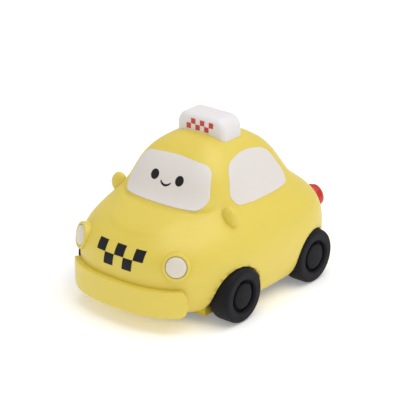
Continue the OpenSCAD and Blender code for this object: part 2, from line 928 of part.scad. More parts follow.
module flywheel() {
    rim = 2.6;
    boss = 2.6 * shaft_r;
    web = 0.55 * flywheel_t;
    color("darkgray")
        difference() {
            bar_x(flywheel_x, flywheel_at.x, flywheel_at.y, flywheel_t, flywheel_r);
            difference() {
                bar_x(flywheel_x + web, flywheel_at.x, flywheel_at.y, far, flywheel_r - rim);
                bar_x(flywheel_x, flywheel_at.x, flywheel_at.y, 2 * far, boss);
            }
            bar_x(flywheel_x - 1, flywheel_at.x, flywheel_at.y, far, shaft_r + press_gap);
        }
}

module axle_gear() {
    color("ivory")
        difference() {
            gear(gear_module_1, axle_gear_teeth, rear_axle_at, idler_dir, gear_1_x, gear_w);
            bar_x(case_x, rear_axle_at.x, rear_axle_at.y, far, axle_r + press_gap);
        }
}

// ---- Wheels and axles ----
axle_cover = 4;
axle_end = wheel_face_x - axle_cover;
hub_hole_end = axle_end + side_play;

module axle(y) {
    color("silver")
        bar_x(-axle_end, y, axle_z, 2 * axle_end, axle_r);
}

// Places a wheel piece drawn with its axis along +Z, inner face at 0, outer face at wheel_w.
module at_wheel(side, y) {
    mirror([side == left ? 0 : 1, 0, 0])
        translate([wheel_face_x - wheel_w, y, axle_z])
            rotate([0, 90, 0])
                children();
}

// A thick ring with rounded shoulders and a bore that opens out at the outer face.
module tyre(side, y) {
    color("dimgray")
        at_wheel(side, y)
            rotate_extrude($fn = 96)
                difference() {
                    union() {
                        translate([0, inner_shoulder_r])
                            square([wheel_r, wheel_w - inner_shoulder_r - shoulder_r]);
                        square([wheel_r - inner_shoulder_r, wheel_w / 2]);
                        translate([0, wheel_w / 2])
                            square([wheel_r - shoulder_r, wheel_w / 2]);
                        translate([wheel_r - inner_shoulder_r, inner_shoulder_r])
                            circle(inner_shoulder_r);
                        translate([wheel_r - shoulder_r, wheel_w - shoulder_r])
                            circle(shoulder_r);
                    }
                    translate([-wheel_r, -1])
                        square([wheel_r + hub_r + press_gap, wheel_w + 2]);
                    translate([0, wheel_w - groove_depth])
                        square([hub_r + groove_w, wheel_w]);
                }
}

// A hub on the axle: a plain barrel inside the tyre and a narrower domed disc outside.
module hub(side, y) {
    disc_sink = 0.2;
    disc_high = wheel_w - hub_dome - disc_sink;
    color("black")
        at_wheel(side, y)
            difference() {
                union() {
                    cylinder(h = wheel_w - groove_depth, r = hub_r);
                    domed_disc(hub_disc_r, wheel_w - groove_depth - 1, disc_high, hub_dome);
                }
                translate([0, 0, -1])
                    cylinder(h = hub_hole_end - wheel_face_x + wheel_w + 1, r = axle_r + press_gap);
            }
}

body_shell();
front_bumper();
windscreen_panel();
rear_window_panel();
side_window_panel(left);  // left_window_panel
side_window_panel(right);  // right_window_panel
headlamp_bezel(left);  // left_headlamp_bezel
headlamp_bezel(right);  // right_headlamp_bezel
headlamp_lens(left);  // left_headlamp_lens
headlamp_lens(right);  // right_headlamp_lens
tail_lamp(left);  // left_tail_lamp
tail_lamp(right);  // right_tail_lamp
mirror_ear(left);  // left_mirror
mirror_ear(right);  // right_mirror
roof_sign();
chassis_plate();
chassis_screws();
motor_case();
motor_cover();
cover_screws();
motor_screws();
idler_shaft();
idler_gear();
flywheel_shaft();
flywheel_pinion();
flywheel();
axle_gear();
axle(rear_axle_y);  // rear_axle
axle(front_axle_y);  // front_axle
tyre(left, front_axle_y);  // front_left_tyre
hub(left, front_axle_y);  // front_left_hub
tyre(right, front_axle_y);  // front_right_tyre
hub(right, front_axle_y);  // front_right_hub
tyre(left, rear_axle_y);  // rear_left_tyre
hub(left, rear_axle_y);  // rear_left_hub
tyre(right, rear_axle_y);  // rear_right_tyre
hub(right, rear_axle_y);  // rear_right_hub
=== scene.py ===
# %% [markdown]
# # A friction toy taxi
# This notebook dresses a small toy car. The mechanical model holds every size and every joint, and
# arrives here as a frame of named parts. Each step below makes one piece or one finish, and says
# what the real thing is, how it could be made in Blender and why this way was chosen. Everything is
# in metres, +Z is up and the car looks along -Y.

import math

import bmesh
import bpy
import numpy as np
from mathutils import Matrix, Vector


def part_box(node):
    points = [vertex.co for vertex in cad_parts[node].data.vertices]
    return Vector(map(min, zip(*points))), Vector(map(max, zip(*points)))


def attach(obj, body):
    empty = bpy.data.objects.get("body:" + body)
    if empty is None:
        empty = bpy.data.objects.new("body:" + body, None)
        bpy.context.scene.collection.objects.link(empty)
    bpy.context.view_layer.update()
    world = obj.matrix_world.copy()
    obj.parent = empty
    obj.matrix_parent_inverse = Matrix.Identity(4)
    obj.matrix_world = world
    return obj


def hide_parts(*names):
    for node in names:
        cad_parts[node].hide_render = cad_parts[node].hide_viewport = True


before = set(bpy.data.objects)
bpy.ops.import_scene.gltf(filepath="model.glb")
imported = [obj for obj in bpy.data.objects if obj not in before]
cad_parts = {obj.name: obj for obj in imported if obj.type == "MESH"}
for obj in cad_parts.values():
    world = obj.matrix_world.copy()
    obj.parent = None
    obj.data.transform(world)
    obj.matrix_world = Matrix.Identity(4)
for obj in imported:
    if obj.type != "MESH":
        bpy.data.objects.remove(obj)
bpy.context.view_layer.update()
MM = 0.001

# %% [markdown]
# ## The landmarks
# A piece finds its place from the frame, so nothing has to be fitted by eye. The two axles give the
# wheelbase and the height of the wheels, and the shell's box gives the body's length, width and
# roof. Reading them once, here, keeps the later cells free of numbers.

# %% Landmarks from the frame
shell_low, shell_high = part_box("body_shell")
front_axle_low, front_axle_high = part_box("front_axle")
rear_axle_low, rear_axle_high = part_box("rear_axle")
front_axle = (front_axle_low + front_axle_high) / 2
rear_axle = (rear_axle_low + rear_axle_high) / 2
mid_y = (front_axle.y + rear_axle.y) / 2
tyre_low, tyre_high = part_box("front_left_tyre")
wheel_r = (tyre_high.z - tyre_low.z) / 2
wheel_w = tyre_high.x - tyre_low.x
print("wheelbase mm:", round((rear_axle.y - front_axle.y) / MM, 2), "wheel radius mm:", round(wheel_r / MM, 2))

# %% [markdown]
# ## Camera
# A toy catalogue shot uses a long lens from a little above, so that the car keeps its round shape.
# The camera could be placed by coordinates, but an azimuth, an elevation and a distance say more:
# they can be read as directions. The camera looks at a point a little above the axles.

# %% Camera
camera_azimuth = math.radians(38.77)
camera_elevation = math.radians(23.23)
camera_distance = 0.9172
aim_point = Vector((-8.30 * MM, mid_y + 10.34 * MM, 30.89 * MM))
away = Vector((
    math.sin(camera_azimuth) * math.cos(camera_elevation),
    -math.cos(camera_azimuth) * math.cos(camera_elevation),
    math.sin(camera_elevation),
))
camera_data = bpy.data.cameras.new("camera")
camera_data.lens = 168.8
camera_data.sensor_width = 36
camera = bpy.data.objects.new("camera", camera_data)
camera.location = aim_point + away * camera_distance
camera.rotation_euler = away.to_track_quat("Z", "Y").to_euler()
bpy.context.scene.collection.objects.link(camera)
bpy.context.scene.camera = camera
print("camera at mm:", [round(v / MM, 1) for v in camera.location])

# %% [markdown]
# ## Floor and light
# The toy stands on a seamless white sweep under large soft lamps. Big area lights close to a small
# object give the broad, edgeless highlights that matt vinyl shows, and a bright, even world fills
# the shadows.

# %% Floor and light
def srgb(code):
    """Turns an sRGB hex colour into the linear values that Blender works with."""
    channels = [int(code[i:i + 2], 16) / 255 for i in (1, 3, 5)]
    return tuple(c / 12.92 if c <= 0.04045 else ((c + 0.055) / 1.055) ** 2.4 for c in channels)


def area_light(name, place, size, power):
    """A square soft lamp at a place, turned to the car."""
    data = bpy.data.lights.new(name, "AREA")
    data.shape = "SQUARE"
    data.size = size
    data.energy = power
    lamp = bpy.data.objects.new(name, data)
    lamp.location = Vector(place)
    lamp.rotation_euler = (Vector(place) - Vector((0, 0, 0.03))).to_track_quat("Z", "Y").to_euler()
    bpy.context.scene.collection.objects.link(lamp)
    return lamp


area_light("top_light", (0.15, 0.05, 0.75), 0.8, 3.3)
area_light("front_light", (-0.55, -0.75, 0.45), 0.7, 0.35)
area_light("side_light", (0.85, 0.05, 0.40), 0.7, 0.75)
world = bpy.data.worlds.new("studio")
world.use_nodes = True
world.node_tree.nodes["Background"].inputs["Color"].default_value = (1, 1, 1, 1)
world.node_tree.nodes["Background"].inputs["Strength"].default_value = 0.55
bpy.context.scene.world = world
bpy.context.scene.view_settings.view_transform = "Standard"

floor_bm = bmesh.new()
bmesh.ops.create_grid(floor_bm, x_segments=1, y_segments=1, size=3)
floor_mesh = bpy.data.meshes.new("floor")
floor_bm.to_mesh(floor_mesh)
floor_bm.free()
floor = bpy.data.objects.new("floor", floor_mesh)
bpy.context.scene.collection.objects.link(floor)

# %% [markdown]
# ## How a material is built
# Every finish is a small graph: a pattern in Object coordinates changes the colour, the roughness
# and the relief of one Principled shader. One function adds a node with its settings and its links,
# so a material reads as a short list. Object coordinates are in metres, so a pattern's scale is one
# over its real size.

# %% Material helpers
def add_node(tree, kind, settings=None, inputs=None):
    """Adds a node; a value in inputs is either a constant or the output socket to link."""
    node = tree.nodes.new(kind)
    for key, value in (settings or {}).items():
        setattr(node, key, value)
    for key, value in (inputs or {}).items():
        if isinstance(value, bpy.types.NodeSocket):
            tree.links.new(value, node.inputs[key])
        else:
            node.inputs[key].default_value = value
    return node


def new_material(name):
    """An empty Principled material, its tree, its shader and its Object coordinates."""
    material = bpy.data.materials.new(name)
    material.use_nodes = True
    tree = material.node_tree
    shader = tree.nodes["Principled BSDF"]
    place = add_node(tree, "ShaderNodeTexCoord").outputs["Object"]
    return material, tree, shader, place


def moulded_plastic(name, colour, deep, rough, grain_mm, grain_depth_mm, sheen=0.0, soft=0.0, shine=0.5):
    """Moulded plastic: a slight cloudiness in the colour, a fine mould texture and soft wear."""
    material, tree, shader, place = new_material(name)
    cloud = add_node(tree, "ShaderNodeTexNoise", None,
        {"Vector": place, "Scale": 1 / (28 * MM), "Detail": 3.0, "Roughness": 0.5})
    mix = add_node(tree, "ShaderNodeMix", {"data_type": "RGBA"},
        {"Factor": cloud.outputs["Fac"], "A": (*srgb(colour), 1), "B": (*srgb(deep), 1)})
    tree.links.new(mix.outputs["Result"], shader.inputs["Base Color"])
    grain = add_node(tree, "ShaderNodeTexNoise", None,
        {"Vector": place, "Scale": 1 / (grain_mm * MM), "Detail": 2.0, "Roughness": 0.6})
    smudge = add_node(tree, "ShaderNodeTexNoise", None,
        {"Vector": place, "Scale": 1 / (9 * MM), "Detail": 4.0, "Roughness": 0.6})
    gloss = add_node(tree, "ShaderNodeMapRange", None,
        {"Value": smudge.outputs["Fac"], "From Min": 0.3, "From Max": 0.7,
         "To Min": rough - 0.05, "To Max": rough + 0.07})
    tree.links.new(gloss.outputs["Result"], shader.inputs["Roughness"])
    bump = add_node(tree, "ShaderNodeBump", None,
        {"Height": grain.outputs["Fac"], "Distance": grain_depth_mm * MM, "Strength": 0.6})
    tree.links.new(bump.outputs["Normal"], shader.inputs["Normal"])
    shader.inputs["IOR"].default_value = 1.5
    shader.inputs["Specular IOR Level"].default_value = shine
    shader.inputs["Sheen Weight"].default_value = sheen
    shader.inputs["Sheen Roughness"].default_value = 0.5
    if soft > 0:
        shader.inputs["Subsurface Weight"].default_value = soft
        shader.inputs["Subsurface Radius"].default_value = (1.0, 0.7, 0.35)
        shader.inputs["Subsurface Scale"].default_value = 2.0 * MM
    print("material:", name)
    return material


# %% Plastics and rubber
vinyl_yellow = moulded_plastic("soft_vinyl_yellow", "#E5CF50", "#E0C846", 0.46, 0.35, 0.012, sheen=0.06, soft=0.12, shine=0.8)
vinyl_white = moulded_plastic("satin_white_print", "#E3DCD6", "#DED8D2", 0.50, 0.30, 0.006)
sign_white = moulded_plastic("translucent_white_vinyl", "#EAE7E8", "#E6E2E2", 0.45, 0.40, 0.008, soft=0.25)
lens_white = moulded_plastic("white_lens_print", "#E2DACB", "#DDD5C5", 0.38, 0.30, 0.004)
lamp_red = moulded_plastic("red_lamp_plastic", "#CC2013", "#BE1A0F", 0.18, 0.60, 0.003, soft=0.15)
tyre_black = moulded_plastic("black_tyre_vinyl", "#19181E", "#151419", 0.62, 0.25, 0.012, sheen=0.03, shine=0.15)
hub_black = moulded_plastic("black_hub_plastic", "#15141A", "#111015", 0.50, 0.35, 0.008, sheen=0.01, shine=0.1)
chassis_black = moulded_plastic("black_chassis_abs", "#26262A", "#202023", 0.48, 0.45, 0.015)
print_black = moulded_plastic("black_pad_print", "#1A161A", "#151316", 0.45, 0.20, 0.003, shine=0.25)
print_red = moulded_plastic("red_pad_print", "#CB4023", "#C43A1F", 0.45, 0.20, 0.003)
nylon_natural = moulded_plastic("natural_nylon", "#E4DFCF", "#DDD7C5", 0.42, 0.50, 0.010, soft=0.1)
acetal_white = moulded_plastic("white_acetal", "#EDEADF", "#E6E2D6", 0.30, 0.60, 0.004)
floor_white = moulded_plastic("studio_sweep", "#FFFFFF", "#FDFDFD", 0.9, 2.0, 0.0, shine=0.0)
floor_shader = floor_white.node_tree.nodes["Principled BSDF"]
floor_shader.inputs["Emission Color"].default_value = (1, 1, 1, 1)
floor_shader.inputs["Emission Strength"].default_value = 0.22
floor.data.materials.append(floor_white)

# %% [markdown]
# ## The body's skin as a formula
# The body is two soft, squarish egg shapes that melt together: a low wide one and the cabin. Such a
# form could be sculpted, or modelled as a cage under a Subdivision Surface. A formula is used here
# because other pieces have to lie exactly on it: window panels, prints and the bumper all ask the
# same function where the skin is. A ray is followed out from the inside and its crossing found by
# halving the interval, for thousands of points at once.

# %% Skin formula
half_width = (shell_high.x - shell_low.x) / 2
widest_y = mid_y + 7.9 * MM
waist_z = 23.9 * MM
cabin_y = mid_y + 1.8 * MM
cabin_z = 38.6 * MM
lower_form = dict(a=half_width, n=2.85, y=widest_y, front=widest_y - shell_low.y,
    rear=shell_high.y - widest_y, c=27 * MM, z=waist_z, m=2.63)
cabin_form = dict(a=31 * MM, n=3.67, y=cabin_y, front=33.2 * MM, rear=33.2 * MM,
    c=shell_high.z - cabin_z, z=cabin_z, m=2.37)
blend_size = 14 * MM
core = np.array([0, mid_y + 4 * MM, waist_z])


def form_distance(p, f):
    """Distance of points from one squarish egg, negative inside."""
    y = p[:, 1] - f["y"]
    reach = np.where(y < 0, f["front"], f["rear"])
    plan = ((np.abs(p[:, 0]) / f["a"]) ** f["n"] + (np.abs(y) / reach) ** f["n"]) ** (1 / f["n"])
    rho = (plan ** f["m"] + (np.abs(p[:, 2] - f["z"]) / f["c"]) ** f["m"]) ** (1 / f["m"])
    length = np.sqrt(p[:, 0] ** 2 + y ** 2 + (p[:, 2] - f["z"]) ** 2)
    return (1 - 1 / np.maximum(rho, 0.05)) * length


def skin_distance(p):
    """Distance of points from the body, with a soft hollow where the two forms meet."""
    a = form_distance(p, lower_form)
    b = form_distance(p, cabin_form)
    h = np.maximum(blend_size - np.abs(a - b), 0) / blend_size
    return np.minimum(a, b) - h * h * blend_size / 4


def skin_hit(start, direction, level=0.0, reach=0.15, steps=26):
    """Where rays from inside the body cross the skin, or a level above or below it."""
    low = np.zeros(len(start))
    high = np.full(len(start), reach)
    for _ in range(steps):
        middle = (low + high) / 2
        inside = skin_distance(start + direction * middle[:, None]) < level
        low = np.where(inside, middle, low)
        high = np.where(inside, high, middle)
    return start + direction * ((low + high) / 2)[:, None]


def skin_normal(p, step=0.05 * MM):
    """Outward directions of the skin at points."""
    slope = np.stack([
        skin_distance(p + step * axis) - skin_distance(p - step * axis) for axis in np.eye(3)
    ], axis=1)
    return slope / np.linalg.norm(slope, axis=1)[:, None]


def soft_step(x):
    """Rises smoothly from 0 to 1."""
    x = np.clip(x, 0, 1)
    return x * x * (3 - 2 * x)


def body_relief(p):
    """The soft lip of the bonnet over the nose, and the crease where the bonnet meets the windscreen."""
    x, height = np.abs(p[:, 0]) / MM, p[:, 2] / MM
    ahead = soft_step((cabin_y - p[:, 1]) / (20 * MM))
    lip_z = 40.4 + (x / 18) ** 2 * 2.2
    lip = soft_step((height - lip_z) / 1.8) * soft_step((52 - height) / 9) * soft_step((23 - x) / 9)
    crease_z = 48.2 + (x / 24) ** 4 * 0.8
    crease = np.exp(-((height - crease_z) / 1.2) ** 2) * soft_step((29 - x) / 6)
    return ahead * (0.8 * lip - 1.1 * crease) * MM


roof = skin_hit(np.array([core]), np.array([[0.0, 0.0, 1.0]]))
print("roof height mm:", round(float(roof[0, 2]) / MM, 2))

# %% [markdown]
# ## From bmesh to a piece
# A bmesh is shaped first and becomes an object once. This helper turns all faces outwards unless
# asked not to, shades them smooth, gives the piece its finish and lets it ride on a body.

# %% Piece helpers
def coordinates(bm):
    """All vertex positions of a bmesh as one array."""
    return np.array([v.co[:] for v in bm.verts])


def move_to(bm, places):
    """Puts the vertices of a bmesh at the rows of an array."""
    for vertex, place in zip(bm.verts, places):
        vertex.co = place


def make_piece(name, bm, material, body, replaced=(), outwards=True):
    """Turns a finished bmesh into a named piece that rides on a body."""
    if outwards:
        bmesh.ops.recalc_face_normals(bm, faces=bm.faces[:])
    mesh = bpy.data.meshes.new(name)
    bm.to_mesh(mesh)
    bm.free()
    mesh.shade_smooth()
    mesh.materials.append(material)
    piece = bpy.data.objects.new(name, mesh)
    bpy.context.scene.collection.objects.link(piece)
    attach(piece, body)
    if replaced:
        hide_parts(*replaced)
    print(name, "faces:", len(mesh.polygons))
    return piece


def soften(piece, width_mm, segments=3, angle=35):
    """Rounds the sharp edges of a piece with a Bevel modifier."""
    bevel = piece.modifiers.new("soft_edges", "BEVEL")
    bevel.width = width_mm * MM
    bevel.segments = segments
    bevel.limit_method = "ANGLE"
    bevel.angle_limit = math.radians(angle)
    bevel.harden_normals = False
    return bevel


def thicken(piece, thickness_mm, offset=-1.0):
    """Gives a sheet its thickness."""
    solid = piece.modifiers.new("thickness", "SOLIDIFY")
    solid.thickness = thickness_mm * MM
    solid.offset = offset
    solid.use_even_offset = True
    return solid

# %% [markdown]
# ## Body shell
# The shell is one soft vinyl moulding. A sphere with poles would pinch at the roof, so the shape
# starts from a finely divided cube, whose faces spread evenly once every point is pushed out onto
# the skin. A plane cuts the bottom edge. The wheel arches are cleared by deleting what lies inside
# them and pulling the cut edge onto the arch. That edge is then drawn inwards to make the well. The
# open bottom is filled, inset by the wall's thickness and pushed up, which leaves a real hollow.

# %% Body shell
rim_z = shell_low.z
wall = 1.8 * MM
arch_r = wheel_r + 0.6 * MM
well_x = tyre_low.x - 1.0 * MM
cavity_top = 36 * MM
cube_cuts = 92
spread = Vector((45, 62, 48))

body_bm = bmesh.new()
bmesh.ops.create_cube(body_bm, size=2)
bmesh.ops.subdivide_edges(body_bm, edges=body_bm.edges[:], cuts=cube_cuts, use_grid_fill=True)
cube_points = coordinates(body_bm)
rays = np.tan(cube_points * math.pi / 4) * np.array(spread)
rays /= np.linalg.norm(rays, axis=1)[:, None]
starts = np.repeat(core[None, :], len(rays), axis=0)
smooth_places = skin_hit(starts, rays)
move_to(body_bm, skin_hit(starts, rays, body_relief(smooth_places)))
bmesh.ops.bisect_plane(body_bm, geom=body_bm.verts[:] + body_bm.edges[:] + body_bm.faces[:],
    plane_co=(0, 0, rim_z), plane_no=(0, 0, -1), clear_outer=True, dist=1e-6)
print("skin faces:", len(body_bm.faces))


# %% Wheel arches
def arch_depth(y, z, axle):
    """How far a point seen from the side is inside an arch, negative outside."""
    if z < axle.z:
        return arch_r - abs(y - axle.y)
    return arch_r - math.hypot(y - axle.y, z - axle.z)


def cut_arch(bm, side, axle):
    """Clears one wheel arch, snaps its edge and draws the well inwards."""
    inside = [v for v in bm.verts if v.co.x * side > well_x * 0.8 and arch_depth(v.co.y, v.co.z, axle) > 0]
    bmesh.ops.delete(bm, geom=inside, context="VERTS")
    edge = [e for e in bm.edges if len(e.link_faces) == 1
        and all(v.co.x * side > well_x * 0.5 and arch_depth(v.co.y, v.co.z, axle) > -3 * MM for v in e.verts)]
    edge = [e for e in edge if not all(v.co.z < rim_z + 1e-6 for v in e.verts)]
    ring = {v for e in edge for v in e.verts}
    for vertex in ring:
        y, z = vertex.co.y - axle.y, vertex.co.z - axle.z
        if z < 0:
            vertex.co.y = axle.y + math.copysign(arch_r, y)
        else:
            length = math.hypot(y, z)
            vertex.co.y = axle.y + y * arch_r / length
            vertex.co.z = axle.z + z * arch_r / length
    snapped = list(ring)
    inner = np.array([[0.0, v.co.y, v.co.z] for v in snapped])
    sideways = np.repeat(np.array([[float(side), 0, 0]]), len(inner), axis=0)
    for vertex, place in zip(snapped, skin_hit(inner, sideways)):
        vertex.co.x = place[0]
    grown = bmesh.ops.extrude_edge_only(bm, edges=edge)["geom"]
    for vertex in (g for g in grown if isinstance(g, bmesh.types.BMVert)):
        vertex.co.x = side * well_x
    end_edges = [g for g in grown if isinstance(g, bmesh.types.BMEdge)
        and all(abs(v.co.x - side * well_x) < 1e-6 for v in g.verts)]
    feet = [v for v in {v for e in end_edges for v in e.verts} if v.co.z < rim_z + 1e-5]
    base = bm.edges.new(feet[:2])
    bmesh.ops.edgeloop_fill(bm, edges=end_edges + [base])


for side in (1, -1):
    for axle in (front_axle, rear_axle):
        cut_arch(body_bm, side, axle)
rim_edges = [e for e in body_bm.edges if len(e.link_faces) == 1]
print("open rim edges:", len(rim_edges))

# %% Hollow inside and finished shell
floor_face = bmesh.ops.edgeloop_fill(body_bm, edges=rim_edges)["faces"]
bmesh.ops.inset_region(body_bm, faces=floor_face, thickness=wall)
lifted = bmesh.ops.extrude_face_region(body_bm, geom=floor_face)["geom"]
bmesh.ops.delete(body_bm, geom=floor_face, context="FACES_ONLY")
for vertex in (g for g in lifted if isinstance(g, bmesh.types.BMVert)):
    vertex.co.z = cavity_top
body = make_piece("body_shell_vinyl", body_bm, vinyl_yellow, "car", ["body_shell"])
soften(body, 0.45, segments=3, angle=50)

# %% [markdown]
# ## Shapes that lie on the skin
# Windows, prints and panels are flat shapes wrapped onto a round body. A Shrinkwrap modifier could
# press them on, but it leaves ragged rims. Here a square grid is fitted into the shape's outline,
# ring by ring, and each point is then sent along one axis until it meets the skin. The rim follows
# the outline exactly and the faces stay even.

# %% Outlines and wrapping
def hull_of_circles(circles, steps=48):
    """The stretched-string outline around circles (u, v, radius), anticlockwise."""
    turn = np.linspace(0, 2 * math.pi, steps, endpoint=False)
    spots = np.concatenate([
        np.stack([u + r * np.cos(turn), v + r * np.sin(turn)], axis=1) for u, v, r in circles
    ])
    spots = spots[np.lexsort((spots[:, 1], spots[:, 0]))]
    chains = []
    for run in (spots, spots[::-1]):
        chain = []
        for p in run:
            while len(chain) > 1:
                ab, ap = chain[-1] - chain[-2], p - chain[-2]
                if ab[0] * ap[1] - ab[1] * ap[0] > 1e-15:
                    break
                chain.pop()
            chain.append(p)
        chains += chain[:-1]
    return np.array(chains)


def fill_outline(grid, outline):
    """Fits points of the square from -1 to 1 into a round outline, ring by ring."""
    centre = (outline.min(axis=0) + outline.max(axis=0)) / 2
    size = (outline.max(axis=0) - outline.min(axis=0)) / 2
    ring = np.max(np.abs(grid), axis=1)
    angle = np.arctan2(grid[:, 1], grid[:, 0])
    rim = (outline - centre) / size
    rim_angle = np.arctan2(rim[:, 1], rim[:, 0])
    order = np.argsort(rim_angle)
    wrapped = np.concatenate([rim_angle[order] - 2 * math.pi, rim_angle[order], rim_angle[order] + 2 * math.pi])
    rim = np.tile(rim[order], (3, 1))
    edge = np.stack([np.interp(angle, wrapped, rim[:, 0]), np.interp(angle, wrapped, rim[:, 1])], axis=1)
    return centre + edge * size * ring[:, None]


def wrap_points(flat, facing, level):
    """Sends points (across, height) along -Y, +Y, +X or -X onto a level of the skin."""
    along_y = facing in ("front", "back")
    sign = 1.0 if facing in ("back", "left") else -1.0
    direction = np.array([0, sign, 0] if along_y else [sign, 0, 0], float)
    start = np.zeros((len(flat), 3))
    start[:, 0 if along_y else 1] = flat[:, 0]
    start[:, 1 if along_y else 0] = core[1] if along_y else 0
    start[:, 2] = flat[:, 1]
    return skin_hit(start, np.repeat(direction[None, :], len(flat), axis=0), level)


def wrapped_sheet(outline, facing, level, cuts):
    """A bmesh sheet that fills an outline on the skin."""
    bm = bmesh.new()
    bmesh.ops.create_grid(bm, x_segments=cuts, y_segments=cuts, size=1)
    flat = fill_outline(coordinates(bm)[:, :2], outline)
    move_to(bm, wrap_points(flat, facing, level))
    bmesh.ops.recalc_face_normals(bm, faces=bm.faces[:])
    middle = bm.faces[len(bm.faces) // 2]
    outward = skin_normal(np.array([middle.calc_center_median()[:]]))[0]
    if middle.normal.dot(Vector(outward)) < 0:
        bmesh.ops.reverse_faces(bm, faces=bm.faces[:])
    return bm


print("outline test, points:", len(hull_of_circles([(0, 0, 1), (2, 0, 1)])))

# %% [markdown]
# ## Window panels
# The windows are satin white panels with round corners, let into the vinyl so that only a soft rim
# shows. Their outlines are four corner circles with a string around them, the upper pair rounder
# than the lower. Each panel is a sheet on the skin, given its thickness with a Solidify modifier
# and a soft rim with a Bevel modifier.

# %% Window panels
panel_proud = 0.20 * MM
window_low = 49.8 * MM
window_high = shell_high.z - 6.1 * MM
window_crown = 1.15 * MM
low_corner = 4.0 * MM


def window_outline(u_low, u_high, top_low, top_high, shoulder):
    """Two lower corners, two rounder upper ones and a crowned top between them."""
    middle = (top_low + top_high) / 2
    reach = (top_high - top_low) / 2 - shoulder
    upper = [(middle + t * reach, window_high - shoulder - t * t * window_crown, shoulder)
        for t in np.linspace(-1, 1, 9)]
    lower = [(u_low + low_corner, window_low + low_corner, low_corner),
        (u_high - low_corner, window_low + low_corner, low_corner)]
    return hull_of_circles(lower + upper)


screen_outline = window_outline(-23.4 * MM, 23.4 * MM, -21.3 * MM, 21.3 * MM, 7.5 * MM)
side_outline = window_outline(mid_y - 17.2 * MM, mid_y + 22.6 * MM, mid_y - 14.6 * MM, mid_y + 20.0 * MM, 9 * MM)
for name, node, outline, facing in (
    ("windscreen_white", "windscreen_panel", screen_outline, "front"),
    ("rear_window_white", "rear_window_panel", screen_outline, "back"),
    ("left_window_white", "left_window_panel", side_outline, "left"),
    ("right_window_white", "right_window_panel", side_outline, "right"),
):
    sheet_bm = wrapped_sheet(outline, facing, panel_proud, 56)
    panel = make_piece(name, sheet_bm, vinyl_white, "car", [node], outwards=False)
    thicken(panel, 0.85)
    soften(panel, 0.14, segments=2)

# %% [markdown]
# ## Face and chequers
# Two ovals and a smiling arc are pad-printed on the windscreen, and five black squares on the nose.
# Printed ink is only a few hundredths of a millimetre thick, so each mark is a thin sheet just above
# the surface. A texture could carry them too, but real sheets keep a clean edge from close by.

# %% Face on the windscreen
ink = 0.045 * MM


def oval(u, v, half_u, half_v, steps=64):
    """An oval outline."""
    turn = np.linspace(0, 2 * math.pi, steps, endpoint=False)
    return np.stack([u + half_u * np.cos(turn), v + half_v * np.sin(turn)], axis=1)


face_bm = bmesh.new()
for eye_x in (-7.2 * MM, 7.2 * MM):
    eye = wrapped_sheet(oval(eye_x, 59.4 * MM, 2.3 * MM, 2.15 * MM), "front", panel_proud + ink, 12)
    eye_mesh = bpy.data.meshes.new("eye")
    eye.to_mesh(eye_mesh)
    eye.free()
    face_bm.from_mesh(eye_mesh)
    bpy.data.meshes.remove(eye_mesh)
smile_bm = bmesh.new()
bmesh.ops.create_grid(smile_bm, x_segments=28, y_segments=4, size=1)
strip = coordinates(smile_bm)
along = strip[:, 0]
thin = np.sqrt(np.maximum(1 - np.maximum((np.abs(along) - 0.87) / 0.13, 0) ** 2, 0.02))
smile_u = along * 3.1 * MM
smile_v = 56.25 * MM + along ** 2 * 1.5 * MM + strip[:, 1] * thin * 0.46 * MM
move_to(smile_bm, wrap_points(np.stack([smile_u, smile_v], axis=1), "front", panel_proud + ink))
smile_mesh = bpy.data.meshes.new("smile")
smile_bm.to_mesh(smile_mesh)
smile_bm.free()
face_bm.from_mesh(smile_mesh)
bpy.data.meshes.remove(smile_mesh)
for face in face_bm.faces:
    face.normal_update()
    if face.normal.y > 0:
        face.normal_flip()
make_piece("printed_face", face_bm, print_black, "car", outwards=False)

# %% Chequers on the nose
chequer_columns = [-13.5, -8.1, -2.7, 2.7, 8.1, 13.5]
chequer_rows = [27.4, 32.5, 37.2]
chequer_bm = bmesh.new()
for column, row in ((0, 1), (2, 1), (4, 1), (1, 0), (3, 0)):
    start = len(chequer_bm.verts)
    made = bmesh.ops.create_grid(chequer_bm, x_segments=8, y_segments=8, size=0.5)["verts"]
    u0, u1 = chequer_columns[column:column + 2]
    v0, v1 = chequer_rows[row:row + 2]
    square = np.array([v.co[:2] for v in made]) + 0.5
    flat = np.stack([(u0 + square[:, 0] * (u1 - u0)) * MM, (v0 + square[:, 1] * (v1 - v0)) * MM], axis=1)
    for vertex, place in zip(made, wrap_points(flat, "front", ink)):
        vertex.co = place
for face in chequer_bm.faces:
    face.normal_update()
    if face.normal.y > 0:
        face.normal_flip()
make_piece("printed_chequers", chequer_bm, print_black, "car", outwards=False)

# %% [markdown]
# ## Front bumper
# The bumper is a thick soft band that hugs the nose. Its front stands upright and bulges with the
# body, its ends have round corners and its back lies on the skin. The band is a sheet laid along the
# body's outline; a second layer is drawn inwards until it meets the skin, and a Bevel rounds every
# edge. A swept curve would be quicker, but it could not follow the skin at the back.

# %% Front bumper
bumper_low, bumper_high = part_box("front_bumper")
bumper_t = 3 * MM
bumper_end = math.radians(30)


def round_points(azimuth, height, level):
    """Points of the skin around the middle, at azimuths from straight ahead."""
    direction = np.stack([np.sin(azimuth), -np.cos(azimuth), np.zeros_like(azimuth)], axis=1)
    start = np.stack([np.zeros_like(azimuth), np.full_like(azimuth, core[1]), height], axis=1)
    return skin_hit(start, direction, level)


def level_normals(p):
    """Outward directions of the skin, laid level."""
    n = skin_normal(p)
    n[:, 2] = 0
    return n / np.linalg.norm(n, axis=1)[:, None]


